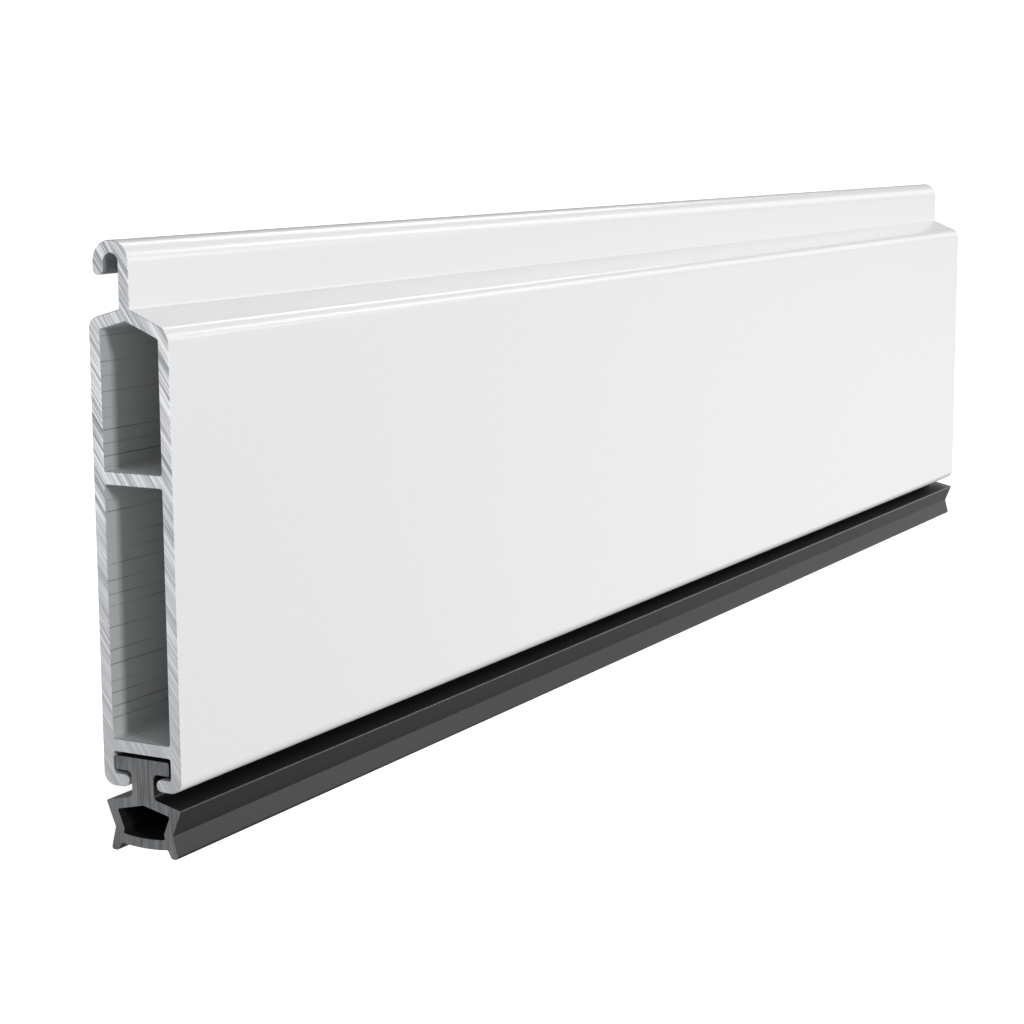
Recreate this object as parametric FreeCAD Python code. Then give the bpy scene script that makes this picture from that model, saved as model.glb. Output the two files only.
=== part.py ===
import FreeCAD
import Part
import math
import os

# End slat of a roller shutter: the lowest slat of the curtain.
# It is an extruded two-chamber aluminium profile with a hook along its top,
# and a rubber seal that is threaded into the T-groove along its bottom.
#
# The slat lies on its back face. X runs along its length, +Y points to the hook,
# and Z is up, out of the front face. All sizes are in millimetres.
#
# Sections are drawn with two measures:
# h, the height above the profile's bottom lips, and
# t, the depth from the back face, which is 0, to the front face.

# Profile, overall
length = 200.0
thickness = 8.0
shoulder_height = 40.0
hook_rise = 5.6
wall = 1.05
chamber_fillet = 0.2

# Profile, bottom T-groove for the seal
lip_thickness = 1.1
mouth_width = 2.9
groove_height = 1.85
groove_fillet = 0.2
lower_corner_radius = 1.1

# Profile, webs across the inside
groove_web = 1.1
lower_chamber_height = 21.5
divider_web = 1.1

# Profile, sloping roof of the upper chamber
front_slope = 22.8
back_slope = 15.5
roof_wall = 1.05
front_shoulder_radius = 1.25
back_shoulder_radius = 1.0
root_fillet = 0.2

# Profile, neck and hook
hook_inset = 0.6
hook_wall = 1.05
hook_gap = 1.5
tongue_length = 2.85

# Seal, T-head and stem in the groove
head_side_clearance = 0.18
head_play = 0.34
stem_play = 0.33
head_fillet = 0.2
stem_fillet = 0.45

# Seal, hollow bulb below the profile
bulb_drop = 0.49
bulb_inset = 0.13
bulb_slope = 13.1
shelf_height = 2.24
waist_depth = 0.9
bulb_wall = 0.9
bulb_floor = 0.85
tip_fillet = 0.12
bulb_fillet = 0.15

# Seal, the two feet that press on the sill
foot_height = 2.02
foot_splay = 0.53
foot_thickness = 0.72
foot_fillet = 0.24
belly_rise = 0.73
belly_bow = 0.32

# Places that follow from the sizes above
middle = thickness / 2
groove_top = lip_thickness + groove_height
lower_chamber_floor = groove_top + groove_web
divider_underside = lower_chamber_floor + lower_chamber_height
upper_chamber_floor = divider_underside + divider_web
hook_top = shoulder_height + hook_rise
neck_back = hook_inset + hook_wall + hook_gap
neck_front = neck_back + hook_wall
bulb_half_width = middle - bulb_inset
waist_half_width = bulb_half_width - waist_depth
foot_half_width = waist_half_width + foot_splay
tip_height = -bulb_drop - bulb_half_width * math.tan(math.radians(bulb_slope))
waist_height = tip_height - shelf_height
sole_height = waist_height - foot_height
middle_height = (hook_top + sole_height) / 2


def place(h, t):
    """A point of the section, on the slat's left end."""
    return FreeCAD.Vector(-length / 2, h - middle_height, t)


def reach(before, corner, after):
    """How far the rounding of a corner runs along each of its two sides."""
    side_in = (corner[0] - before[0]).normalize()
    side_out = (after[0] - corner[0]).normalize()
    turn = side_in.getAngle(side_out)
    return corner[1] * math.tan(turn / 2)


def outline(corners):
    """A closed wire through corners (h, t, radius), each rounded with its radius.
    Where two roundings don't both fit on their side, they shrink together."""
    points = [(place(h, t), radius) for h, t, radius in corners]
    count = len(points)
    reaches = [reach(points[i - 1], points[i], points[(i + 1) % count]) for i in range(count)]
    shares = [1.0] * count
    for i in range(count):
        side = (points[i][0] - points[i - 1][0]).Length
        needed = reaches[i] + reaches[i - 1]
        if needed > side:
            shares[i] = min(shares[i], side / needed)
            shares[i - 1] = min(shares[i - 1], side / needed)
    edges = []
    starts = []
    ends = []
    for i in range(count):
        corner, radius = points[i]
        side_in = (corner - points[i - 1][0]).normalize()
        side_out = (points[(i + 1) % count][0] - corner).normalize()
        run = reaches[i] * shares[i]
        start = corner - side_in * run
        end = corner + side_out * run
        half_turn = side_in.getAngle(side_out) / 2
        crown = run / math.tan(half_turn) * (1 / math.cos(half_turn) - 1)
        summit = corner + (side_out - side_in).normalize() * crown
        starts.append(start)
        ends.append(end)
        edges.append(Part.Arc(start, summit, end).toShape())
    shortest = 1e-6
    for i in range(count):
        if (starts[i] - ends[i - 1]).Length > shortest:
            edges.append(Part.LineSegment(ends[i - 1], starts[i]).toShape())
    return Part.Wire(Part.__sortEdges__(edges))


def extruded(outer, hollows):
    """A solid as long as the slat, with a section of one outline less its hollows."""
    face = Part.makeFace([outer] + hollows, "Part::FaceMakerBullseye")
    return face.extrude(FreeCAD.Vector(length, 0, 0))


def roof(t, drop=0.0):
    """Heights of the roof's back and front planes at depth t, or of planes drop below them."""
    back = math.radians(back_slope)
    front = math.radians(front_slope)
    back_plane = shoulder_height - (neck_back - t) * math.tan(back) - drop / math.cos(back)
    front_plane = shoulder_height - (t - neck_front) * math.tan(front) - drop / math.cos(front)
    return back_plane, front_plane


def roof_ridge():
    """Where the two inner planes of the roof meet, as (h, t)."""
    back_at_0, front_at_0 = roof(0, roof_wall)
    closing_rate = math.tan(math.radians(back_slope)) + math.tan(math.radians(front_slope))
    t = (front_at_0 - back_at_0) / closing_rate
    return roof(t, roof_wall)[0], t


def profile_outline():
    """The outside of the extrusion, hook and groove included, from the back corner up."""
    hook_radius = (neck_front - hook_inset) / 2
    gap_radius = hook_gap / 2
    tongue_radius = hook_wall / 2
    lip_radius = lip_thickness / 2
    gap_top = hook_top - hook_wall
    gap_back = neck_back - hook_gap
    tongue_tip = hook_top - tongue_length
    back_lip = middle - mouth_width / 2
    front_lip = middle + mouth_width / 2
    return outline([
        (0, 0, lower_corner_radius),
        (roof(0)[0], 0, back_shoulder_radius),
        (shoulder_height, neck_back, root_fillet),
        (gap_top, neck_back, gap_radius),
        (gap_top, gap_back, gap_radius),
        (tongue_tip, gap_back, tongue_radius),
        (tongue_tip, hook_inset, tongue_radius),
        (hook_top, hook_inset, hook_radius),
        (hook_top, neck_front, hook_radius),
        (shoulder_height, neck_front, root_fillet),
        (roof(thickness)[1], thickness, front_shoulder_radius),
        (0, thickness, lower_corner_radius),
        (0, front_lip, lip_radius),
        (lip_thickness, front_lip, lip_radius),
        (lip_thickness, thickness - wall, groove_fillet),
        (groove_top, thickness - wall, groove_fillet),
        (groove_top, wall, groove_fillet),
        (lip_thickness, wall, groove_fillet),
        (lip_thickness, back_lip, lip_radius),
        (0, back_lip, lip_radius),
    ])


def lower_chamber():
    return outline([
        (lower_chamber_floor, wall, chamber_fillet),
        (lower_chamber_floor, thickness - wall, chamber_fillet),
        (divider_underside, thickness - wall, chamber_fillet),
        (divider_underside, wall, chamber_fillet),
    ])


def upper_chamber():
    ridge_height, ridge_depth = roof_ridge()
    front_wall = thickness - wall
    return outline([
        (upper_chamber_floor, wall, chamber_fillet),
        (upper_chamber_floor, front_wall, chamber_fillet),
        (roof(front_wall, roof_wall)[1], front_wall, chamber_fillet),
        (ridge_height, ridge_depth, chamber_fillet),
        (roof(wall, roof_wall)[0], wall, chamber_fillet),
    ])


def mirrored(half):
    """The whole outline of a section from its back half, given as (h, offset, radius)
    with offsets from the middle plane. A corner on that plane isn't repeated."""
    back = [(h, middle - offset, radius) for h, offset, radius in half]
    front = [(h, middle + offset, radius) for h, offset, radius in reversed(half) if offset > 0]
    return outline(back + front)


def bow_radius(half_width, rise):
    """Radius of the arc that rounds a shallow ridge over most of its two sides."""
    rounded_share = 0.8
    return rounded_share * half_width ** 2 / rise


def seal_outline():
    slope = math.tan(math.radians(bulb_slope))
    head_half = middle - wall - head_side_clearance
    stem_half = mouth_width / 2 - stem_play
    head_top = groove_top - head_play
    head_underside = lip_thickness + head_play
    shelf_at_stem = -bulb_drop - stem_half * slope
    foot_inner = foot_half_width - foot_thickness
    belly_edge = sole_height + belly_rise
    return mirrored([
        (head_top, head_half, head_fillet),
        (head_underside, head_half, head_fillet),
        (head_underside, stem_half, stem_fillet),
        (shelf_at_stem, stem_half, stem_fillet),
        (tip_height, bulb_half_width, tip_fillet),
        (waist_height, waist_half_width, bulb_fillet),
        (sole_height, foot_half_width, foot_fillet),
        (sole_height, foot_inner, foot_fillet),
        (belly_edge, foot_inner - belly_rise / 2, bulb_fillet),
        (belly_edge - belly_bow, 0, bow_radius(foot_inner, belly_bow)),
    ])


def bulb_hollow():
    """The hole along the bulb: its sides, roof and floor follow the outside."""
    slope = math.tan(math.radians(bulb_slope))
    lean = waist_depth / shelf_height
    splay = foot_splay / foot_height
    ridge = -bulb_drop - bulb_wall
    waist_inner = waist_half_width - bulb_wall
    # The roof line and the side line above the waist meet at the eaves
    eaves = (ridge - slope * (waist_inner - lean * waist_height)) / (1 + slope * lean)
    eaves_half = waist_inner + lean * (eaves - waist_height)
    floor_edge = sole_height + belly_rise + bulb_floor
    floor_half = waist_inner + splay * (waist_height - floor_edge)
    return mirrored([
        (ridge, 0, bulb_fillet),
        (eaves, eaves_half, bulb_fillet),
        (waist_height, waist_inner, bulb_fillet),
        (floor_edge, floor_half, bulb_fillet),
        (floor_edge - belly_bow, 0, bow_radius(floor_half, belly_bow)),
    ])


def main():
    parts = {
        "slat_profile": extruded(profile_outline(), [lower_chamber(), upper_chamber()]),
        "bottom_seal": extruded(seal_outline(), [bulb_hollow()]),
    }
    os.makedirs("parts", exist_ok=True)
    for name, solid in parts.items():
        box = solid.BoundBox
        print(name, solid.ShapeType, "valid", solid.isValid(), "volume", round(solid.Volume, 1))
        print("  y %.3f to %.3f, z %.3f to %.3f" % (box.YMin, box.YMax, box.ZMin, box.ZMax))
        solid.exportStep("parts/%s.step" % name)


main()
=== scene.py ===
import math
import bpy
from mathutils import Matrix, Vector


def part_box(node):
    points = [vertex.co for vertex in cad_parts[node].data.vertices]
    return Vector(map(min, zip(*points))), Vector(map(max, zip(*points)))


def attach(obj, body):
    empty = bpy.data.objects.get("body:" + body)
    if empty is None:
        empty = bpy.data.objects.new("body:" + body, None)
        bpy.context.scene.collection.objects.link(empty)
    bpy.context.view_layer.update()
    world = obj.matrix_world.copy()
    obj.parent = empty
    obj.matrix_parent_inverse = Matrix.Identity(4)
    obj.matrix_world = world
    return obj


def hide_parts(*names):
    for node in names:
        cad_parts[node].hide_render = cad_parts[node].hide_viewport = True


bl_info = {
    "name": "Roller Shutter End Slat",
    "version": (1, 0, 0),
    "blender": (4, 5, 0),
    "location": "3D View > Sidebar > End Slat",
    "description": "Models a roller shutter's lowest slat and its rubber seal, on a pale studio floor",
    "category": "Add Mesh",
}

import bmesh
import bpy
from mathutils import Matrix, Vector

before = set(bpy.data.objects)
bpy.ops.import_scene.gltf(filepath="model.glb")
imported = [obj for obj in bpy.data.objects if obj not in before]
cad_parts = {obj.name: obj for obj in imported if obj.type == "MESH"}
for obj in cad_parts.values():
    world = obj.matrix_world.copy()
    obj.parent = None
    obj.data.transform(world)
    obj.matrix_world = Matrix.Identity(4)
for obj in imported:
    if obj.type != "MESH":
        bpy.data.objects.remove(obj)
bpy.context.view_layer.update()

MM = 0.001
BODY = "root"
ALONG = Vector((1, 0, 0))

# Two points nearer than this are the same corner of the section
NEAR = 0.002 * MM
# Vertices nearer than this are merged
MERGE = 0.0005 * MM

# Faces round each kind of rounding
OUTER_SEGMENTS = 12
FRONT_SEGMENTS = 14
HOOK_SEGMENTS = 28
LIP_SEGMENTS = 8
FILLET_SEGMENTS = 5
BELLY_SEGMENTS = 12
RIDGE_SEGMENTS = 3

# The slat lies on its back face: X runs along it, +Y points to the hook, Z is up, out of the front face.
# Sections are drawn with two measures, as on a profile maker's drawing:
# height, above the profile's bottom lips, and depth, from the back face to the front face.
PROFILE_LOW, PROFILE_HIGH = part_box("slat_profile")


def size(name, description, default):
    """A length that the user can set, in metres."""
    return bpy.props.FloatProperty(
        name=name, description=description, default=default, min=0.0,
        unit="LENGTH", subtype="DISTANCE", precision=5,
    )


def slope(name, description, degrees):
    """An angle that the user can set."""
    return bpy.props.FloatProperty(
        name=name, description=description, default=math.radians(degrees),
        unit="ROTATION", subtype="ANGLE",
    )


def brightness(name, description, default):
    """A brightness that the user can set, where 1 shows as white."""
    return bpy.props.FloatProperty(name=name, description=description, default=default, min=0.0)


def linear(hex_colour):
    """An sRGB hex colour as linear red, green and blue, with full alpha."""
    channels = [int(hex_colour[i:i + 2], 16) / 255 for i in (1, 3, 5)]
    return tuple(c / 12.92 if c <= 0.04045 else ((c + 0.055) / 1.055) ** 2.4 for c in channels) + (1.0,)


def shade_of(tone, share):
    """A linear colour made lighter or darker by a share."""
    return tuple(c * share for c in tone[:3]) + (1.0,)


def colour(name, description, hex_colour):
    """A colour that the user can set."""
    return bpy.props.FloatVectorProperty(
        name=name, description=description, default=linear(hex_colour), size=4, min=0.0, max=1.0,
        subtype="COLOR",
    )


class ProfileSizes(bpy.types.PropertyGroup):
    """Sizes of the aluminium profile."""
    length: size("Length", "Length that the slat is cut to", PROFILE_HIGH.x - PROFILE_LOW.x)
    thickness: size("Thickness", "From the back face to the front face", PROFILE_HIGH.z - PROFILE_LOW.z)
    shoulder_height: size("Shoulder height", "From the bottom lips to the root of the neck", 40 * MM)
    wall: size("Wall", "Thickness of the two long walls", 1.05 * MM)
    chamber_fillet: size("Chamber fillet", "Radius in the corners of the two chambers", 0.2 * MM)
    lip_thickness: size("Lip thickness", "Thickness of the two lips that hold the seal", 1.1 * MM)
    mouth_width: size("Mouth width", "Gap between the two lips", 2.9 * MM)
    groove_height: size("Groove height", "Height of the groove above its lips", 1.85 * MM)
    groove_fillet: size("Groove fillet", "Radius in the corners of the groove", 0.2 * MM)
    lower_radius: size("Lower corner radius", "Rounding of the two bottom corners", 1.1 * MM)
    groove_web: size("Groove web", "Web between the groove and the lower chamber", 1.1 * MM)
    chamber_height: size("Lower chamber height", "Clear height of the lower chamber", 21.5 * MM)
    divider_web: size("Divider web", "Web between the two chambers", 1.1 * MM)
    roof_wall: size("Roof wall", "Thickness of the two roof slopes", 1.05 * MM)
    front_slope: slope("Front slope", "Fall of the roof from the neck to the front face", 22.8)
    back_slope: slope("Back slope", "Fall of the roof from the neck to the back face", 15.5)
    front_radius: size("Front shoulder radius", "Rounding between roof and front face", 1.25 * MM)
    back_radius: size("Back shoulder radius", "Rounding between roof and back face", 1.0 * MM)
    root_fillet: size("Root fillet", "Radius on both sides of the neck's root", 0.2 * MM)
    hook_inset: size("Hook inset", "From the back face to the back of the hook", 0.6 * MM)
    hook_wall: size("Hook wall", "Thickness of the neck and the hook", 1.05 * MM)
    hook_gap: size("Hook gap", "Slot that the next slat's lip hangs in", 1.5 * MM)
    tongue_length: size("Tongue length", "From the hook's top to the tip of its tongue", 2.85 * MM)
    cut_edge: size("Cut edge", "Width that the sawn edges are broken by", 0.05 * MM)


class SealSizes(bpy.types.PropertyGroup):
    """Sizes of the rubber seal."""
    side_clearance: size("Side clearance", "Play of the seal's head beside the groove's walls", 0.18 * MM)
    head_play: size("Head play", "Play above and below the seal's head", 0.34 * MM)
    stem_play: size("Stem play", "Play on each side of the stem in the mouth", 0.33 * MM)
    head_fillet: size("Head fillet", "Radius of the head's corners", 0.2 * MM)
    stem_fillet: size("Stem fillet", "Radius at both ends of the stem", 0.45 * MM)
    bulb_drop: size("Bulb drop", "Height of the lips above the bulb's shelf", 0.49 * MM)
    bulb_inset: size("Bulb inset", "From the profile's faces to the bulb's tips", 0.13 * MM)
    bulb_slope: slope("Bulb slope", "Fall of the bulb's shelf towards its tips", 13.1)
    shelf_height: size("Shelf height", "From the bulb's tips down to its waist", 2.24 * MM)
    waist_depth: size("Waist depth", "How far the waist pulls in from the tips", 0.9 * MM)
    bulb_wall: size("Bulb wall", "Thickness of the bulb's wall", 0.9 * MM)
    bulb_floor: size("Bulb floor", "Thickness of the bulb's floor", 0.85 * MM)
    tip_fillet: size("Tip fillet", "Radius of the bulb's two tips", 0.12 * MM)
    bulb_fillet: size("Bulb fillet", "Radius of the waist and the hollow's corners", 0.15 * MM)
    foot_height: size("Foot height", "From the waist down to the soles", 2.02 * MM)
    foot_splay: size("Foot splay", "How far a foot spreads from the waist", 0.53 * MM)
    foot_thickness: size("Foot thickness", "Width of a sole", 0.72 * MM)
    foot_fillet: size("Foot fillet", "Radius of the soles' edges", 0.24 * MM)
    belly_rise: size("Belly rise", "From the soles up to the belly's edges", 0.73 * MM)
    belly_bow: size("Belly bow", "How far the belly bows down between its edges", 0.32 * MM)
    cut_edge: size("Cut edge", "Width that the cut edges are broken by", 0.03 * MM)


class SlatColours(bpy.types.PropertyGroup):
    """Colours of the surfaces."""
    coat: colour("Powder coat", "White of the coated faces", "#E3E3E3")
    bare: colour("Bare aluminium", "Metal of the sawn ends", "#CED2D8")
    mill: colour("Mill finish", "Metal inside the chambers and the groove", "#C3C5C6")
    # Painted shade: darker than the mill finish, for the shade deep in the hook's slot
    slot: colour("Hook slot", "Metal in the hook's slot, out of reach of the spray", "#8C8E90")
    rubber: colour("Rubber skin", "Extruded faces of the seal", "#19191A")
    cut_rubber: colour("Cut rubber", "Ends of the seal", "#636567")
    floor: colour("Floor", "Studio floor", "#FAFAFA")


class StudioSettings(bpy.types.PropertyGroup):
    """Light and camera."""
    key_light: brightness("Key light", "What the key light alone gives a level white face", 0.462)
    surroundings: brightness("Surroundings", "The room round the slat", 0.46)
    far_glow: brightness("Far glow", "Wall past the far end, which the front face mirrors", 1.1)
    high_glow: brightness("High glow", "Higher up that wall, mirrored near the cut end", 5.0)
    near_glow: brightness("Near glow", "Wall before the near end, which lights the cut", 0.81)
    low_glow: brightness("Low glow", "What the floor throws back under the seal", 0.3)
    strip_boxes: brightness("Strip boxes", "Boxes that draw the lines on the roundings", 3.6)
    lens: bpy.props.FloatProperty(
        name="Lens", description="Focal length on a sensor 36 mm wide", default=81.59, unit="CAMERA",
    )
    roll: slope("Roll", "Turn of the camera about its line of sight", 0.329)


def section_at(height, depth):
    """A point of the section, on the left end of the slat."""
    return Vector((PROFILE_LOW.x, PROFILE_LOW.y + height, PROFILE_LOW.z + depth))


def height_and_depth(point):
    """The two measures of a point."""
    return point.y - PROFILE_LOW.y, point.z - PROFILE_LOW.z


def between(value, low, high):
    """Whether a value lies between two others, in either order."""
    return min(low, high) < value < max(low, high)


def start_plate(name, low, high):
    """Adds a plate that stands across the slat between two points, and leaves it in edit mode."""
    bpy.ops.object.select_all(action="DESELECT")
    middle = (low + high) / 2
    bpy.ops.mesh.primitive_plane_add(size=1, location=middle, rotation=(0, math.pi / 2, 0))
    piece = bpy.context.object
    piece.name = name
    piece.data.name = name
    bpy.ops.object.transform_apply(location=True, rotation=True, scale=False)
    bpy.ops.object.mode_set(mode="EDIT")
    bpy.ops.transform.resize(value=(1, high.y - low.y, high.z - low.z), center_override=middle)
    return piece


def middle_of(element):
    """The middle of a vertex, an edge or a face."""
    if isinstance(element, bmesh.types.BMVert):
        return element.co
    if isinstance(element, bmesh.types.BMFace):
        return element.calc_center_median()
    return (element.verts[0].co + element.verts[1].co) / 2


def pick(kind, test):
    """Selects the vertices, edges or faces that pass a test of their middle and themselves."""
    bpy.ops.mesh.select_mode(type=kind)
    bpy.ops.mesh.select_all(action="DESELECT")
    mesh = bpy.context.object.data
    shape = bmesh.from_edit_mesh(mesh)
    elements = {"VERT": shape.verts, "EDGE": shape.edges, "FACE": shape.faces}[kind]
    for element in elements:
        if test(middle_of(element), element):
            element.select_set(True)
    bmesh.update_edit_mesh(mesh)


def extrude(move):
    """Extrudes what is selected, and moves it."""
    bpy.ops.mesh.extrude_region_move(TRANSFORM_OT_translate={"value": move})


def cut(point, normal, drop_above=False):
    """Cuts the section along a plane, and drops what is above it if asked."""
    bpy.ops.mesh.select_all(action="SELECT")
    bpy.ops.mesh.bisect(plane_co=point, plane_no=normal, clear_outer=drop_above)


def grow(start, other_start, goal, other_goal):
    """Extrudes the edge between two points of the section, and brings its ends to two others."""
    middle = (start + other_start) / 2
    pick("EDGE", lambda p, e: (p - middle).length < NEAR)
    extrude(goal - start)
    carried = other_start + goal - start
    pick("VERT", lambda p, v: (p - carried).length < NEAR)
    bpy.ops.transform.translate(value=other_goal - carried)


def join_faces(test):
    """Makes one face of those that pass a test."""
    pick("FACE", test)
    bpy.ops.mesh.dissolve_faces()


def outline_sides(vertex):
    """Directions of the two outline edges that meet in a vertex."""
    return [(e.other_vert(vertex).co - vertex.co).normalized() for e in vertex.link_edges if e.is_boundary]


def clear_straights():
    """Removes the vertices that the cuts left in the straight stretches of the outline."""
    straight = math.radians(179.5)
    pick("VERT", lambda p, v: len(v.link_edges) == 2 and Vector.angle(*outline_sides(v)) > straight)
    bpy.ops.mesh.dissolve_verts()


def merge_doubles():
    """Merges the vertices that lie on each other."""
    bpy.ops.mesh.select_all(action="SELECT")
    bpy.ops.mesh.remove_doubles(threshold=MERGE)


def round_corner(point, radius, segments=FILLET_SEGMENTS):
    """Rounds the section's corner at a point with a radius."""
    shape = bmesh.from_edit_mesh(bpy.context.object.data)
    corner = min(shape.verts, key=lambda v: (v.co - point).length)
    half_turn = (math.pi - Vector.angle(*outline_sides(corner))) / 2
    pick("VERT", lambda p, v: (p - point).length < NEAR)
    bpy.ops.mesh.bevel(
        offset=radius * math.tan(half_turn), offset_type="OFFSET", segments=segments, affect="VERTICES",
    )


def stretch_to_length(length):
    """Extrudes the whole section along the slat."""
    merge_doubles()
    bpy.ops.mesh.select_all(action="SELECT")
    extrude(ALONG * length)
    bpy.ops.mesh.select_all(action="SELECT")
    bpy.ops.mesh.normals_make_consistent(inside=False)


def break_cut_edges(width):
    """Breaks the edges that the saw or knife left round both ends of the piece."""
    def is_cut_edge(point, edge):
        across = [abs(face.normal.x) > 0.5 for face in edge.link_faces]
        return any(across) and not all(across)

    pick("EDGE", is_cut_edge)
    bpy.ops.mesh.bevel(offset=width, offset_type="OFFSET", segments=1, affect="EDGES")


def paint(piece, material, test):
    """Gives the faces that pass a test of their middle and normal a material of their own."""
    piece.data.materials.append(material)
    number = len(piece.data.materials) - 1
    for face in piece.data.polygons:
        if test(face.center, face.normal):
            face.material_index = number


def cut_face_test(length, cut_edge):
    """The test of a piece's two cut ends, for painting them."""
    end = length / 2 - 2 * cut_edge
    return lambda p, normal: abs(p.x) > end and abs(normal.x) > 0.5


def finish_piece(piece, node):
    """Smooths the rounded stretches and puts the piece in the place of its node."""
    smooth_below = math.radians(32)
    bpy.ops.object.shade_smooth_by_angle(angle=smooth_below)
    bpy.ops.object.modifier_add(type="WEIGHTED_NORMAL")
    piece.modifiers[-1].keep_sharp = True
    bpy.ops.object.modifier_apply(modifier=piece.modifiers[-1].name)
    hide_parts(node)
    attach(piece, BODY)


def add_node(tree, kind, settings=None, inputs=None):
    """Adds a node. Settings are its own, inputs are values, or sockets to link, by name or number."""
    node = tree.nodes.new(kind)
    for name, value in (settings or {}).items():
        setattr(node, name, value)
    for name, value in (inputs or {}).items():
        if isinstance(value, bpy.types.NodeSocket):
            tree.links.new(value, node.inputs[name])
        else:
            node.inputs[name].default_value = value
    return node


def start_material(name, display):
    """A material with no nodes yet, and its node tree."""
    material = bpy.data.materials.new(name)
    material.use_nodes = True
    material.diffuse_color = display
    material.node_tree.nodes.clear()
    return material, material.node_tree


def in_millimetres(tree, turn=(0, 0, 0), stretch=(1, 1, 1)):
    """Object coordinates in millimetres, turned, and then shrunk along the axes by a stretch."""
    place = add_node(tree, "ShaderNodeTexCoord").outputs["Object"]
    turned = add_node(
        tree, "ShaderNodeMapping", {"vector_type": "POINT"},
        {"Vector": place, "Rotation": turn, "Scale": (1 / MM, 1 / MM, 1 / MM)},
    )
    scale = tuple(1 / s for s in stretch)
    return add_node(
        tree, "ShaderNodeVectorMath", {"operation": "MULTIPLY"}, {0: turned.outputs["Vector"], 1: scale},
    ).outputs["Vector"]


def streaks(tree, turn, length, width, fine_width):
    """Long streaks along Y, broad ones and fine ones in equal parts, as a value round a half."""
    parts = []
    for streak_width in (width, fine_width):
        place = in_millimetres(tree, turn, (1, length, streak_width))
        parts.append(add_node(
            tree, "ShaderNodeTexNoise", None, {"Vector": place, "Scale": 1.0, "Detail": 2.0},
        ))
    return add_node(
        tree, "ShaderNodeMix", {"data_type": "FLOAT"},
        {0: 0.5, 2: parts[0].outputs[0], 3: parts[1].outputs[0]},
    ).outputs[0]


def thin_lines(tree, across, spacing, width):
    """Thin lines, unevenly spaced in millimetres: one on a line, and nothing between them."""
    cells = add_node(
        tree, "ShaderNodeTexVoronoi", {"voronoi_dimensions": "1D", "feature": "DISTANCE_TO_EDGE"},
        {"W": across, "Scale": 1 / spacing},
    )
    return add_node(
        tree, "ShaderNodeMapRange", None,
        {"Value": cells.outputs["Distance"], "From Max": width / spacing, "To Min": 1.0, "To Max": 0.0},
    ).outputs[0]


def powder_coat(colours, name, roughness, shine):
    """White polyester powder coat, sprayed dry and baked to a satin film."""
    material, tree = start_material(name, colours.coat)
    place = in_millimetres(tree)
    # Melted powder grains leave a faint speckle, drawn coarser than it is so that it shows
    grain_width = 0.35
    grain = add_node(
        tree, "ShaderNodeTexNoise", None, {"Vector": place, "Scale": 1 / grain_width, "Detail": 3.0},
    )
    speckle = add_node(
        tree, "ShaderNodeMix", {"data_type": "RGBA"},
        {0: grain.outputs[0], 6: shade_of(colours.coat, 0.94), 7: colours.coat},
    )
    # The baked film flows into shallow waves, the orange peel
    peel_width = 1.6
    peel = add_node(
        tree, "ShaderNodeTexNoise", None, {"Vector": place, "Scale": 1 / peel_width, "Detail": 2.0},
    )
    bump = add_node(
        tree, "ShaderNodeBump", None, {"Height": peel.outputs[0], "Strength": 0.03, "Distance": 0.1 * MM},
    )
    shader = add_node(
        tree, "ShaderNodeBsdfPrincipled", None,
        {"Base Color": speckle.outputs[2], "Roughness": roughness, "Specular IOR Level": shine,
         "IOR": 1.5, "Normal": bump.outputs[0]},
    )
    add_node(tree, "ShaderNodeOutputMaterial", None, {"Surface": shader.outputs[0]})
    return material


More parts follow.
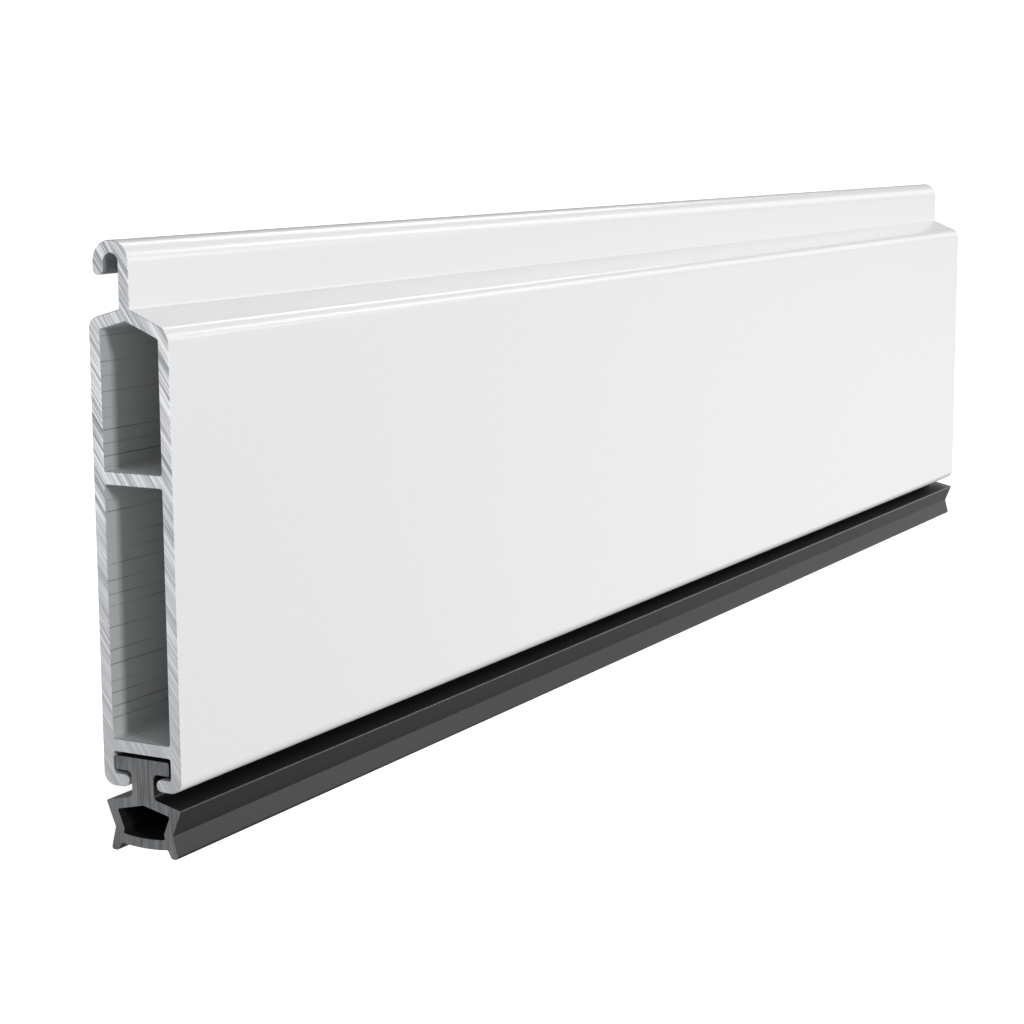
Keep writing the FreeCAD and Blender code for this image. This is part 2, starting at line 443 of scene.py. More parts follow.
def sawn_aluminium(colours):
    """Bare aluminium where a circular saw cut the profile: bright and dull scratches side by side."""
    material, tree = start_material("sawn_aluminium", colours.bare)
    # The blade crossed the end from upper back to lower front
    blade_turn = (math.radians(34.4), 0, 0)
    scratches = streaks(tree, blade_turn, length=14, width=0.45, fine_width=0.11)
    # It cut deeper near the hook, where the slat is springy, and left the foot almost smooth
    height = add_node(tree, "ShaderNodeSeparateXYZ", None, {"Vector": in_millimetres(tree)}).outputs["Y"]
    smooth_foot = -18.0
    spread = add_node(
        tree, "ShaderNodeMapRange", None,
        {"Value": height, "From Min": smooth_foot, "From Max": 10.0, "To Min": 0.30, "To Max": 0.10},
    ).outputs[0]
    low = add_node(tree, "ShaderNodeMath", {"operation": "SUBTRACT"}, {0: 0.5, 1: spread}).outputs[0]
    high = add_node(tree, "ShaderNodeMath", {"operation": "ADD"}, {0: 0.5, 1: spread}).outputs[0]
    contrast = add_node(
        tree, "ShaderNodeMapRange", None, {"Value": scratches, "From Min": low, "From Max": high},
    )
    scratched = add_node(
        tree, "ShaderNodeMix", {"data_type": "RGBA"},
        {0: contrast.outputs[0], 6: shade_of(colours.bare, 0.5), 7: linear("#F4F6F9")},
    )
    # Single teeth left thin bright lines of their own, some strong and some faint
    across = add_node(
        tree, "ShaderNodeSeparateXYZ", None, {"Vector": in_millimetres(tree, blade_turn)},
    ).outputs["Z"]
    tooth = thin_lines(tree, across, spacing=0.6, width=0.07)
    reach = add_node(
        tree, "ShaderNodeTexNoise", None,
        {"Vector": in_millimetres(tree, blade_turn, stretch=(1, 9, 0.9)), "Scale": 1.0, "Detail": 1.0},
    ).outputs[0]
    strength = add_node(
        tree, "ShaderNodeMapRange", None,
        {"Value": reach, "From Min": 0.44, "From Max": 0.6, "To Max": 0.9},
    ).outputs[0]
    share = add_node(tree, "ShaderNodeMath", {"operation": "MULTIPLY"}, {0: tooth, 1: strength}).outputs[0]
    lined = add_node(
        tree, "ShaderNodeMix", {"data_type": "RGBA"},
        {0: share, 6: scratched.outputs[2], 7: linear("#FFFFFF")},
    )
    # Painted shade: the metal's colour is darkened towards the smoother foot
    foot_painted_shade = add_node(
        tree, "ShaderNodeMapRange", None,
        {"Value": height, "From Min": smooth_foot, "From Max": 0.0, "To Min": 0.8, "To Max": 1.0},
    ).outputs[0]
    metal = add_node(
        tree, "ShaderNodeMix", {"data_type": "RGBA", "blend_type": "MULTIPLY"},
        {0: 1.0, 6: lined.outputs[2], 7: foot_painted_shade},
    )
    bump = add_node(
        tree, "ShaderNodeBump", None, {"Height": scratches, "Strength": 0.3, "Distance": 0.05 * MM},
    )
    shader = add_node(
        tree, "ShaderNodeBsdfPrincipled", None,
        {"Base Color": metal.outputs[2], "Metallic": 1.0, "Roughness": 0.45, "Normal": bump.outputs[0]},
    )
    add_node(tree, "ShaderNodeOutputMaterial", None, {"Surface": shader.outputs[0]})
    return material


def mill_finish_aluminium(name, tone):
    """Aluminium as it left the extrusion die: dull grey, with the die's thin dark lines along it."""
    material, tree = start_material(name, tone)
    # The lines are counted across whichever way the face runs
    parts = add_node(tree, "ShaderNodeSeparateXYZ", None, {"Vector": in_millimetres(tree)})
    across = add_node(
        tree, "ShaderNodeMath", {"operation": "ADD"}, {0: parts.outputs["Y"], 1: parts.outputs["Z"]},
    ).outputs[0]
    thin = thin_lines(tree, across, spacing=1.1, width=0.07)
    # Some lines are deep, and some can hardly be seen
    depth = add_node(
        tree, "ShaderNodeTexNoise", None,
        {"Vector": in_millimetres(tree, stretch=(12, 1.7, 1.7)), "Scale": 1.0, "Detail": 1.0},
    ).outputs[0]
    strength = add_node(
        tree, "ShaderNodeMapRange", None,
        {"Value": depth, "From Min": 0.44, "From Max": 0.64, "To Min": 0.08, "To Max": 0.95},
    ).outputs[0]
    line = add_node(tree, "ShaderNodeMath", {"operation": "MULTIPLY"}, {0: thin, 1: strength}).outputs[0]
    metal = add_node(
        tree, "ShaderNodeMix", {"data_type": "RGBA"}, {0: line, 6: tone, 7: shade_of(tone, 0.3)},
    )
    bump = add_node(
        tree, "ShaderNodeBump", {"invert": True}, {"Height": line, "Strength": 0.3, "Distance": 0.03 * MM},
    )
    shader = add_node(
        tree, "ShaderNodeBsdfPrincipled", None,
        {"Base Color": metal.outputs[2], "Metallic": 0.3, "Roughness": 0.5, "Normal": bump.outputs[0]},
    )
    add_node(tree, "ShaderNodeOutputMaterial", None, {"Surface": shader.outputs[0]})
    return material


def extruded_rubber(colours, name, roughness, shine):
    """Black EPDM rubber with the dull skin of the die, drawn faintly along its length."""
    material, tree = start_material(name, colours.rubber)
    line_length = 60
    line_spacing = 0.35
    lines = add_node(
        tree, "ShaderNodeTexNoise", None,
        {"Vector": in_millimetres(tree, stretch=(line_length, line_spacing, line_spacing)),
         "Scale": 1.0, "Detail": 3.0},
    )
    skin = add_node(
        tree, "ShaderNodeMix", {"data_type": "RGBA"},
        {0: lines.outputs[0], 6: shade_of(colours.rubber, 0.8), 7: colours.rubber},
    )
    bump = add_node(
        tree, "ShaderNodeBump", None, {"Height": lines.outputs[0], "Strength": 0.15, "Distance": 0.05 * MM},
    )
    shader = add_node(
        tree, "ShaderNodeBsdfPrincipled", None,
        {"Base Color": skin.outputs[2], "Roughness": roughness, "Specular IOR Level": shine,
         "Normal": bump.outputs[0]},
    )
    add_node(tree, "ShaderNodeOutputMaterial", None, {"Surface": shader.outputs[0]})
    return material


def cut_rubber(colours):
    """Rubber where a blade cut it: greyer than its skin, with drag marks down the cut."""
    material, tree = start_material("cut_rubber", colours.cut_rubber)
    marks = streaks(tree, (0, 0, 0), length=6, width=0.5, fine_width=0.12)
    contrast = add_node(
        tree, "ShaderNodeMapRange", None, {"Value": marks, "From Min": 0.36, "From Max": 0.64},
    )
    dark = shade_of(colours.cut_rubber, 0.5)
    light = shade_of(colours.cut_rubber, 1.45)
    face = add_node(
        tree, "ShaderNodeMix", {"data_type": "RGBA"}, {0: contrast.outputs[0], 6: dark, 7: light},
    )
    bump = add_node(
        tree, "ShaderNodeBump", None, {"Height": marks, "Strength": 0.3, "Distance": 0.05 * MM},
    )
    shader = add_node(
        tree, "ShaderNodeBsdfPrincipled", None,
        {"Base Color": face.outputs[2], "Roughness": 0.8, "Normal": bump.outputs[0]},
    )
    add_node(tree, "ShaderNodeOutputMaterial", None, {"Surface": shader.outputs[0]})
    return material


def studio_paper(colours):
    """Matt white paper, lit so evenly that it stays white right up to the object."""
    material, tree = start_material("white_paper_sweep", colours.floor)
    shader = add_node(
        tree, "ShaderNodeBsdfPrincipled", None,
        {"Base Color": linear("#AAAAAA"), "Roughness": 0.9, "Specular IOR Level": 0.0,
         "Emission Color": colours.floor, "Emission Strength": 0.97},
    )
    add_node(tree, "ShaderNodeOutputMaterial", None, {"Surface": shader.outputs[0]})
    return material


class ProfileLines:
    """Heights, depths and planes of the profile's section, from its sizes."""

    def __init__(self, s):
        middle = s.thickness / 2
        self.back_lip = middle - s.mouth_width / 2
        self.front_lip = middle + s.mouth_width / 2
        self.front_wall = s.thickness - s.wall
        self.groove_top = s.lip_thickness + s.groove_height
        self.lower_floor = self.groove_top + s.groove_web
        self.divider_low = self.lower_floor + s.chamber_height
        self.divider_high = self.divider_low + s.divider_web
        # Cuts across the long walls, kept so that no face has to go round a chamber
        self.lower_seam = (self.lower_floor + self.divider_low) / 2
        self.upper_seam = (self.divider_high + s.shoulder_height) / 2

        self.neck_back = s.hook_inset + s.hook_wall + s.hook_gap
        self.neck_front = self.neck_back + s.hook_wall
        hook_top = PROFILE_HIGH.y - PROFILE_LOW.y
        hook_radius = (self.neck_front - s.hook_inset) / 2
        self.curl_height = hook_top - hook_radius
        self.curl = section_at(self.curl_height, s.hook_inset + hook_radius)
        self.tongue_tip = hook_top - s.tongue_length

        # The two roof planes: a point that each goes through, and its upward normal
        self.back_root = section_at(s.shoulder_height, self.neck_back)
        self.front_root = section_at(s.shoulder_height, self.neck_front)
        self.back_normal = Vector((0, math.cos(s.back_slope), -math.sin(s.back_slope)))
        self.front_normal = Vector((0, math.cos(s.front_slope), math.sin(s.front_slope)))
        self.back_ceiling = self.back_root - self.back_normal * s.roof_wall
        self.front_ceiling = self.front_root - self.front_normal * s.roof_wall

    def is_under_ceilings(self, point, margin=0.0):
        """Whether a point is below both ceilings of the upper chamber, or no more than a margin above."""
        over_back = (point - self.back_ceiling).dot(self.back_normal)
        over_front = (point - self.front_ceiling).dot(self.front_normal)
        return over_back < margin and over_front < margin


def cut_body(s, line):
    """Cuts the roof slopes off the plate, and takes its hollows out."""
    cut(line.back_root, line.back_normal, drop_above=True)
    cut(line.front_root, line.front_normal, drop_above=True)
    cut(line.back_ceiling, line.back_normal)
    cut(line.front_ceiling, line.front_normal)
    heights = (
        s.lip_thickness, line.groove_top, line.lower_floor, line.lower_seam,
        line.divider_low, line.divider_high, line.upper_seam,
    )
    for height in heights:
        cut(section_at(height, 0), (0, 1, 0))
    for depth in (s.wall, line.back_lip, line.front_lip, line.front_wall):
        cut(section_at(0, depth), (0, 0, 1))

    def is_hollow(point, face):
        height, depth = height_and_depth(point)
        between_walls = between(depth, s.wall, line.front_wall)
        in_mouth = between(depth, line.back_lip, line.front_lip) and height < s.lip_thickness
        in_groove = between_walls and between(height, s.lip_thickness, line.groove_top)
        in_lower = between_walls and between(height, line.lower_floor, line.divider_low)
        in_upper = between_walls and height > line.divider_high and line.is_under_ceilings(point)
        return in_mouth or in_groove or in_lower or in_upper

    pick("FACE", is_hollow)
    bpy.ops.mesh.delete(type="FACE")


def roll_hook(s, line):
    """Grows the neck from the root, turns it over into the hook, and adds the tongue."""
    root = (line.back_root + line.front_root) / 2
    pick("EDGE", lambda p, e: (p - root).length < NEAR)
    extrude((0, line.curl_height - s.shoulder_height, 0))
    bpy.ops.mesh.spin(steps=HOOK_SEGMENTS, angle=math.pi, center=line.curl, axis=ALONG)
    extrude((0, line.tongue_tip - line.curl_height, 0))


def clear_profile_cuts(line):
    """Takes the cuts inside the walls out again, but for the two seams."""
    lower_seam = section_at(line.lower_seam, 0).y
    upper_seam = section_at(line.upper_seam, 0).y
    merge_doubles()
    join_faces(lambda p, f: p.y < lower_seam)
    join_faces(lambda p, f: between(p.y, lower_seam, upper_seam))
    join_faces(lambda p, f: p.y > upper_seam)
    clear_straights()


def round_profile(s, line):
    """Rounds every corner that the die rounds."""
    back_fall = math.tan(s.back_slope)
    front_fall = math.tan(s.front_slope)
    back_eave = s.shoulder_height - line.neck_back * back_fall
    front_eave = s.shoulder_height - (s.thickness - line.neck_front) * front_fall
    round_corner(section_at(0, 0), s.lower_radius, OUTER_SEGMENTS)
    round_corner(section_at(0, s.thickness), s.lower_radius, OUTER_SEGMENTS)
    round_corner(section_at(back_eave, 0), s.back_radius, OUTER_SEGMENTS)
    round_corner(section_at(front_eave, s.thickness), s.front_radius, FRONT_SEGMENTS)
    for depth in (line.back_lip, line.front_lip):
        for height in (0, s.lip_thickness):
            round_corner(section_at(height, depth), s.lip_thickness / 2, LIP_SEGMENTS)
    for depth in (s.wall, line.front_wall):
        for height in (s.lip_thickness, line.groove_top):
            round_corner(section_at(height, depth), s.groove_fillet)
        for height in (line.lower_floor, line.divider_low, line.divider_high):
            round_corner(section_at(height, depth), s.chamber_fillet)
    for depth in (line.neck_back, line.neck_front):
        round_corner(section_at(s.shoulder_height, depth), s.root_fillet)
    for depth in (s.hook_inset, s.hook_inset + s.hook_wall):
        round_corner(section_at(line.tongue_tip, depth), s.hook_wall / 2, LIP_SEGMENTS)

    # The upper chamber's corners, where the ceilings meet the walls, and each other at the ridge
    # Each ceiling is taken on to the back face, where the depth is 0
    back_start = s.shoulder_height - s.roof_wall / math.cos(s.back_slope) - line.neck_back * back_fall
    front_start = s.shoulder_height - s.roof_wall / math.cos(s.front_slope) + line.neck_front * front_fall
    ridge_depth = (front_start - back_start) / (back_fall + front_fall)
    ceiling = {
        s.wall: back_start + s.wall * back_fall,
        ridge_depth: back_start + ridge_depth * back_fall,
        line.front_wall: front_start - line.front_wall * front_fall,
    }
    for depth, height in ceiling.items():
        round_corner(section_at(height, depth), s.chamber_fillet)


def paint_profile(piece, s, line, colours):
    """Coat outside, mill finish in the hollows, bare metal at both cuts."""
    # The chambers' walls are found a little outside the hollows that they enclose
    skin = 0.3 * MM

    def is_in_root(point, normal):
        return any(
            math.hypot(point.y - root.y, point.z - root.z) < s.root_fillet
            for root in (line.back_root, line.front_root)
        )

    def is_inside(point, normal):
        height, depth = height_and_depth(point)
        enclosed = between(depth, s.wall - skin, line.front_wall + skin)
        in_groove = between(height, s.lip_thickness - skin, line.groove_top + skin)
        in_chambers = height > line.lower_floor - skin and line.is_under_ceilings(point, skin)
        return enclosed and (in_groove or in_chambers)

    def is_in_slot(point, normal):
        height, depth = height_and_depth(point)
        from_curl = math.hypot(point.y - line.curl.y, point.z - line.curl.z)
        in_curl = height > line.curl_height and from_curl < s.hook_gap / 2 + NEAR
        beside_tongue = between(height, line.tongue_tip - NEAR, line.curl_height + NEAR)
        inwards = between(depth, s.hook_inset + s.hook_wall / 2, line.neck_back - NEAR) and normal.z > 0.2
        return in_curl or (beside_tongue and inwards)

    paint(piece, powder_coat(colours, "satin_white_powder_coat", 0.25, 0.5), lambda p, n: True)
    # The melted powder pools in the roots of the neck, and draws a light line there
    paint(piece, powder_coat(colours, "pooled_powder_coat", 0.2, 1.0), is_in_root)
    paint(piece, mill_finish_aluminium("mill_finish_aluminium", colours.mill), is_inside)
    # The slot is bare metal out of reach of the spray, painted darker than the chambers' metal as shade
    # deep in the slot
    paint(piece, mill_finish_aluminium("slot_aluminium_painted_shade", colours.slot), is_in_slot)
    paint(piece, sawn_aluminium(colours), cut_face_test(s.length, s.cut_edge))


class SLAT_OT_profile(bpy.types.Operator):
    """Models the aluminium profile from its section"""
    bl_idname = "end_slat.profile"
    bl_label = "Slat Profile"

    def execute(self, context):
        s = context.scene.end_slat_profile
        line = ProfileLines(s)
        high_corner = section_at(s.shoulder_height, s.thickness)
        piece = start_plate("slat_profile_finished", section_at(0, 0), high_corner)
        cut_body(s, line)
        roll_hook(s, line)
        clear_profile_cuts(line)
        round_profile(s, line)
        stretch_to_length(s.length)
        break_cut_edges(s.cut_edge)
        bpy.ops.object.mode_set(mode="OBJECT")
        paint_profile(piece, s, line, context.scene.end_slat_colours)
        finish_piece(piece, "slat_profile")
        return {"FINISHED"}


class SealLines:
    """Heights of the seal's section, and half widths from its middle plane, from its sizes."""

    def __init__(self, profile, s):
        self.middle = profile.thickness / 2
        self.fall = math.tan(s.bulb_slope)
        self.head_half = self.middle - profile.wall - s.side_clearance
        self.stem_half = profile.mouth_width / 2 - s.stem_play
        self.head_top = profile.lip_thickness + profile.groove_height - s.head_play
        self.head_low = profile.lip_thickness + s.head_play
        self.crown = -s.bulb_drop
        self.shelf = self.crown - self.stem_half * self.fall
        self.tip_half = self.middle - s.bulb_inset
        self.waist_half = self.tip_half - s.waist_depth
        self.foot_half = self.waist_half + s.foot_splay
        self.foot_inner = self.foot_half - s.foot_thickness
        self.tip = self.crown - self.tip_half * self.fall
        self.waist = self.tip - s.shelf_height
        self.sole = self.waist - s.foot_height
        self.belly = self.sole + s.belly_rise
        self.belly_half = self.foot_inner - s.belly_rise / 2

        # The hollow follows the outside
        lean = s.waist_depth / s.shelf_height
        self.splay = s.foot_splay / s.foot_height
        self.ridge = self.crown - s.bulb_wall
        self.waist_inner = self.waist_half - s.bulb_wall
        rise = self.ridge - self.fall * (self.waist_inner - lean * self.waist)
        self.eaves = rise / (1 + self.fall * lean)
        self.eaves_half = self.waist_inner + lean * (self.eaves - self.waist)
        self.floor = self.belly + s.bulb_floor
        self.floor_half = self.waist_inner + self.splay * (self.waist - self.floor)
        self.belly_low = self.belly - s.belly_bow
        self.floor_low = self.floor - s.belly_bow

        # A cut across the side wall, kept so that no face has to go round the hollow
        self.seam = (self.tip + self.waist) / 2
        self.inner_seam = (self.eaves + self.waist) / 2

    def at(self, height, half):
        """A point of the section, on the half with the front face."""
        return section_at(height, self.middle + half)


def grow_half_seal(line):
    """Grows the front half of the seal's section from its head, edge by edge."""
    at = line.at
    under_stem = at(line.ridge - line.stem_half * line.fall, line.stem_half)
    cut(at(0, line.stem_half), (0, 0, 1))
    # The stem and the roof of the bulb, down from the head
    stem_low = (at(line.crown, 0), at(line.shelf, line.stem_half))
    grow(at(line.head_low, 0), at(line.head_low, line.stem_half), *stem_low)
    grow(*stem_low, at(line.ridge, 0), under_stem)

    def splayed(height):
        return at(height, line.waist_half + line.splay * (line.waist - height))

    # The side wall, out to the tip and down to the sole, as one chain of outer and inner points
    outer_seam = at(line.seam, (line.tip_half + line.waist_half) / 2)
    inner_seam = at(line.inner_seam, (line.eaves_half + line.waist_inner) / 2)
    floor_edge = at(line.floor, line.floor_half)
    belly_edge = at(line.belly, line.belly_half)
    chain = [
        (at(line.shelf, line.stem_half), under_stem),
        (at(line.tip, line.tip_half), at(line.eaves, line.eaves_half)),
        (outer_seam, inner_seam),
        (at(line.waist, line.waist_half), at(line.waist, line.waist_inner)),
        (splayed(line.floor), floor_edge),
        (splayed(line.belly), belly_edge),
        (at(line.sole, line.foot_half), at(line.sole, line.foot_inner)),
    ]
    for here, there in zip(chain, chain[1:]):
        grow(*here, *there)
    # The floor of the bulb, in to the middle
    grow(floor_edge, belly_edge, at(line.floor_low, 0), at(line.belly_low, 0))

    seam = section_at(line.seam, 0).y
    join_faces(lambda p, f: p.y > seam and p.z > 0)
    join_faces(lambda p, f: p.y < seam)
    clear_straights()


def round_half_seal(s, line):
    """Rounds every corner of the half section."""
    for height, half, radius in (
        (line.head_top, line.head_half, s.head_fillet),
        (line.head_low, line.head_half, s.head_fillet),
        (line.head_low, line.stem_half, s.stem_fillet),
        (line.shelf, line.stem_half, s.stem_fillet),
        (line.tip, line.tip_half, s.tip_fillet),
        (line.eaves, line.eaves_half, s.bulb_fillet),
        (line.waist, line.waist_half, s.bulb_fillet),
        (line.waist, line.waist_inner, s.bulb_fillet),
        (line.floor, line.floor_half, s.bulb_fillet),
        (line.belly, line.belly_half, s.bulb_fillet),
        (line.sole, line.foot_half, s.foot_fillet),
        (line.sole, line.foot_inner, s.foot_fillet),
    ):
        round_corner(line.at(height, half), radius)


def mirror_seal(s, line):
    """Adds the other half of the section, and rounds the corners on the middle plane."""
    bpy.ops.mesh.select_all(action="SELECT")
    bpy.ops.mesh.duplicate()
    bpy.ops.transform.resize(value=(1, 1, -1), center_override=line.at(0, 0))
    merge_doubles()
    bpy.ops.mesh.normals_make_consistent(inside=False)
    middle = line.at(0, 0).z
    pick("EDGE", lambda p, e: abs(p.z - middle) < NEAR and len(e.link_faces) == 2)
    bpy.ops.mesh.dissolve_edges(use_verts=False)
    # The bows of the bulb's floor are rounded over most of their width
    bowed_share = 0.8
    for height, half in ((line.floor_low, line.floor_half), (line.belly_low, line.belly_half)):
        round_corner(line.at(height, 0), bowed_share * half ** 2 / s.belly_bow, BELLY_SEGMENTS)
    round_corner(line.at(line.ridge, 0), s.bulb_fillet, RIDGE_SEGMENTS)


def paint_seal(piece, profile, s, line, colours):
    """Rubber skin outside, duller in the hollow, and grey cut rubber at both ends."""
    middle = line.at(0, 0).z
    hollow_low = section_at(line.floor_low, 0).y
    hollow_high = section_at(line.ridge, 0).y

    def is_in_hollow(point, normal):
        outwards = Vector((0, point.y - (hollow_low + hollow_high) / 2, point.z - middle))
        in_height = between(point.y, hollow_low - NEAR, hollow_high + NEAR)
        return in_height and abs(outwards.z) < line.eaves_half + NEAR and normal.dot(outwards) < 0

    def is_on_tip(point, normal):
        height, depth = height_and_depth(point)
        half = abs(depth - line.middle)
        return math.hypot(height - line.tip, half - line.tip_half) < s.tip_fillet + NEAR

    paint(piece, extruded_rubber(colours, "extruded_rubber", 0.31, 0.25), lambda p, n: True)
    # The bulb's two tips are rubbed smooth, and draw a light line
    paint(piece, extruded_rubber(colours, "rubbed_rubber", 0.25, 0.6), is_on_tip)
    # No tool wiped the inside of the bulb, so it is duller
    paint(piece, extruded_rubber(colours, "unwiped_rubber", 0.9, 0.1), is_in_hollow)
    paint(piece, cut_rubber(colours), cut_face_test(profile.length, s.cut_edge))


class SLAT_OT_seal(bpy.types.Operator):
    """Models the rubber seal: half of its section, the mirrored half, and then its length"""
    bl_idname = "end_slat.seal"
    bl_label = "Bottom Seal"

    def execute(self, context):
        profile = context.scene.end_slat_profile
        s = context.scene.end_slat_seal
        line = SealLines(profile, s)
        head_corner = line.at(line.head_top, line.head_half)
        piece = start_plate("bottom_seal_finished", line.at(line.head_low, 0), head_corner)
        grow_half_seal(line)
        round_half_seal(s, line)
        mirror_seal(s, line)
        stretch_to_length(profile.length)
        break_cut_edges(s.cut_edge)
        bpy.ops.object.mode_set(mode="OBJECT")
        paint_seal(piece, profile, s, line, context.scene.end_slat_colours)
        finish_piece(piece, "bottom_seal")
        return {"FINISHED"}


def paper_sweep(colours):
    """A round paper sweep, far from the slat: its floor bends up into a wall all round, closed above."""
    floor_radius = 6.0
    bend_radius = 2.0
    wall_height = 12.0
    steps = 8
    bpy.ops.object.select_all(action="DESELECT")
    bpy.ops.mesh.primitive_circle_add(vertices=96, radius=floor_radius, fill_type="NGON")
    sweep = bpy.context.object
    sweep.name = "paper_sweep"
    bpy.ops.object.mode_set(mode="EDIT")
    reach = floor_radius
    rise = 0.0
    for step in range(1, steps + 1):
        angle = math.pi / 2 * step / steps
        next_reach = floor_radius + bend_radius * math.sin(angle)
        next_rise = bend_radius * (1 - math.cos(angle))
        pick("EDGE", lambda p, e: e.is_boundary)
        extrude((0, 0, next_rise - rise))
        grown = next_reach / reach
        bpy.ops.transform.resize(value=(grown, grown, 1), center_override=(0, 0, 0))
        reach = next_reach
        rise = next_rise
    pick("EDGE", lambda p, e: e.is_boundary)
    extrude((0, 0, wall_height))
    bpy.ops.mesh.edge_face_add()
    bpy.ops.object.mode_set(mode="OBJECT")
    bpy.ops.object.shade_smooth_by_angle(angle=math.radians(30))
    sweep.data.materials.append(studio_paper(colours))
    # The paper is lit for itself: it neither lights nor mirrors in the slat
    sweep.visible_diffuse = False
    sweep.visible_glossy = False
    sweep.visible_shadow = False


def add_light_box(name, direction, along, spread, level):
    """A soft box far off, spread in degrees along a direction and across it. The camera misses it."""
    distance = 6.0
    towards = Vector(direction).normalized()
    across = towards.cross(Vector(along)).normalized()
    bpy.ops.object.light_add(type="AREA", location=towards * distance)
    box = bpy.context.object
    box.name = name
    box.rotation_euler = Matrix((across.cross(towards), across, towards)).transposed().to_euler()
    box.data.shape = "RECTANGLE"
    box.data.size = 2 * distance * math.tan(math.radians(spread[0]) / 2)
    box.data.size_y = 2 * distance * math.tan(math.radians(spread[1]) / 2)
    box.data.energy = level * math.pi * box.data.size * box.data.size_y
    box.visible_camera = False


def studio_lights(studio):
    """The key light, and the boxes that draw lines along the roundings."""
    # High over the hook's side and a little towards the near end
    key_direction = Vector((-0.274, 0.277, 0.922)).normalized()
    key_spread = 8.0
    key_level = studio.key_light * math.pi / math.radians(key_spread) ** 2 / key_direction.z
    add_light_box("key_light", key_direction, ALONG, (key_spread, key_spread), key_level)
    # Past the far end, brightest where they are mirrored near the cut
    strip = studio.strip_boxes
    upper_along = (0.068, -0.067, -0.079)
    lower_along = (0.068, -0.095, 0.040)
    add_light_box("upper_near_strip", (0.81, 0.375, 0.435), upper_along, (10, 7), 1.65 * strip)
    add_light_box("upper_far_strip", (0.905, 0.25, 0.305), upper_along, (18, 18), 0.33 * strip)
    add_light_box("lower_strip", (0.825, 0.565, -0.11), lower_along, (16, 9), 1.3 * strip)


def add_glow(tree, direction, towards, inner, outer, level):
    """A soft round glow in the surroundings: full up to the inner angle, none from the outer one."""
    closeness = add_node(
        tree, "ShaderNodeVectorMath", {"operation": "DOT_PRODUCT"},
        {0: direction, 1: Vector(towards).normalized()},
    )
    return add_node(
        tree, "ShaderNodeMapRange", {"interpolation_type": "SMOOTHSTEP"},
        {"Value": closeness.outputs["Value"], "From Min": math.cos(math.radians(outer)),
         "From Max": math.cos(math.radians(inner)), "To Max": level},
    ).outputs[0]


def studio_surroundings(scene, studio):
    """The room as a smooth glow: dimmer below and on the seal's side, with four brighter places."""
    world = bpy.data.worlds.new("studio_surroundings")
    scene.world = world
    world.use_nodes = True
    tree = world.node_tree
    tree.nodes.clear()
    direction = add_node(tree, "ShaderNodeTexCoord").outputs["Generated"]
    parts = add_node(tree, "ShaderNodeSeparateXYZ", None, {"Vector": direction})
    to_hook = add_node(
        tree, "ShaderNodeMapRange", {"interpolation_type": "SMOOTHSTEP"},
        {"Value": parts.outputs["Y"], "From Min": -0.2, "From Max": 0.5,
         "To Min": 0.85 * studio.surroundings, "To Max": 1.2 * studio.surroundings},
    )
    upwards = add_node(
        tree, "ShaderNodeMapRange", {"interpolation_type": "SMOOTHSTEP"},
        {"Value": parts.outputs["Z"], "From Min": -0.7, "From Max": 0.0, "To Min": 0.1, "To Max": 1.0},
    )
    total = add_node(
        tree, "ShaderNodeMath", {"operation": "MULTIPLY"}, {0: to_hook.outputs[0], 1: upwards.outputs[0]},
    ).outputs[0]
    for glow in (
        add_glow(tree, direction, (0.91, -0.17, 0.36), 5, 14, studio.far_glow),
        add_glow(tree, direction, (0.745, 0.09, 0.661), 3, 9, studio.high_glow),
        add_glow(tree, direction, (-0.86, -0.36, -0.36), 30, 75, studio.near_glow),
        add_glow(tree, direction, (0.76, -0.22, -0.61), 10, 30, studio.low_glow),
    ):
        total = add_node(tree, "ShaderNodeMath", {"operation": "ADD"}, {0: total, 1: glow}).outputs[0]
    background = add_node(tree, "ShaderNodeBackground", None, {"Color": (1, 1, 1, 1), "Strength": total})
    add_node(tree, "ShaderNodeOutputWorld", None, {"Surface": background.outputs[0]})


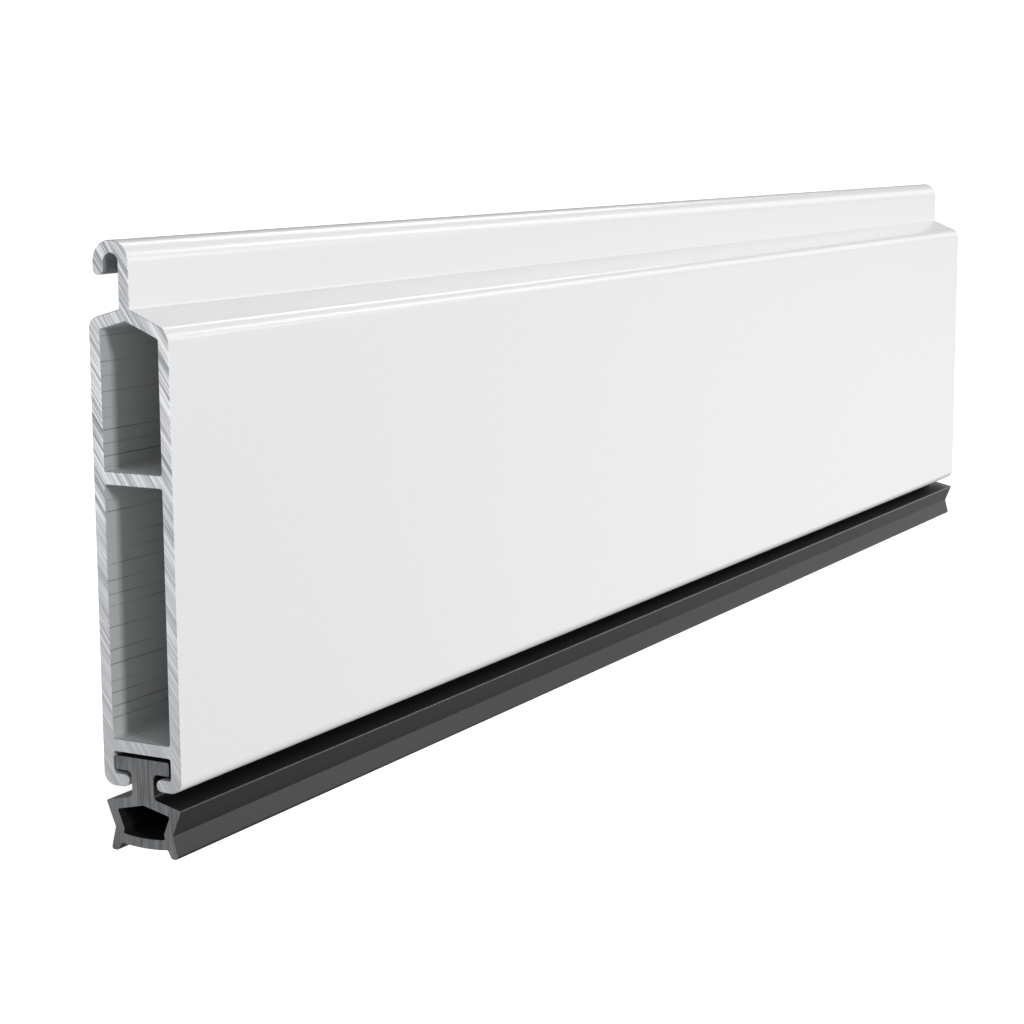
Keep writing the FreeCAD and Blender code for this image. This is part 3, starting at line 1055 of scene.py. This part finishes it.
def studio_camera(scene, studio):
    """The camera, past the near end, looking along the slat and down on it."""
    place = Vector((-249.116, 34.060, 121.681)) * MM
    aim = Vector((-35.93, -5.88, 4.0)) * MM
    forward = (aim - place).normalized()
    level_right = forward.cross(Vector((0, 1, 0))).normalized()
    turn = Matrix.Rotation(studio.roll, 3, forward)
    right = turn @ level_right
    up = turn @ level_right.cross(forward)
    bpy.ops.object.camera_add()
    camera = bpy.context.object
    camera.name = "camera"
    camera.matrix_world = Matrix((right, up, -forward)).transposed().to_4x4()
    camera.location = place
    camera.data.lens = studio.lens
    camera.data.sensor_width = 36
    camera.data.clip_start = 0.01
    camera.data.clip_end = 50
    scene.camera = camera
    scene.view_settings.view_transform = "Standard"


class SLAT_OT_stage(bpy.types.Operator):
    """Sets up the pale floor, the soft studio light and the camera"""
    bl_idname = "end_slat.stage"
    bl_label = "Studio"

    def execute(self, context):
        studio = context.scene.end_slat_studio
        paper_sweep(context.scene.end_slat_colours)
        studio_lights(studio)
        studio_surroundings(context.scene, studio)
        studio_camera(context.scene, studio)
        return {"FINISHED"}


class SLAT_PT_panel(bpy.types.Panel):
    """Lists the sizes, the colours and what each step makes"""
    bl_idname = "SLAT_PT_panel"
    bl_label = "Roller Shutter End Slat"
    bl_space_type = "VIEW_3D"
    bl_region_type = "UI"
    bl_category = "End Slat"

    def draw(self, context):
        for operator in OPERATORS:
            self.layout.operator(operator.bl_idname)
        for name in SETTINGS:
            group = getattr(context.scene, name)
            box = self.layout.box()
            for setting in type(group).__annotations__:
                box.prop(group, setting)


SETTINGS = {
    "end_slat_profile": ProfileSizes,
    "end_slat_seal": SealSizes,
    "end_slat_colours": SlatColours,
    "end_slat_studio": StudioSettings,
}
OPERATORS = (SLAT_OT_profile, SLAT_OT_seal, SLAT_OT_stage)
CLASSES = (*SETTINGS.values(), *OPERATORS, SLAT_PT_panel)


def register():
    for cls in CLASSES:
        bpy.utils.register_class(cls)
    for name, group in SETTINGS.items():
        setattr(bpy.types.Scene, name, bpy.props.PointerProperty(type=group))


def unregister():
    for name in SETTINGS:
        delattr(bpy.types.Scene, name)
    for cls in reversed(CLASSES):
        bpy.utils.unregister_class(cls)


def main():
    register()
    bpy.ops.end_slat.profile()
    bpy.ops.end_slat.seal()
    bpy.ops.end_slat.stage()


if __name__ == "__main__":
    main()
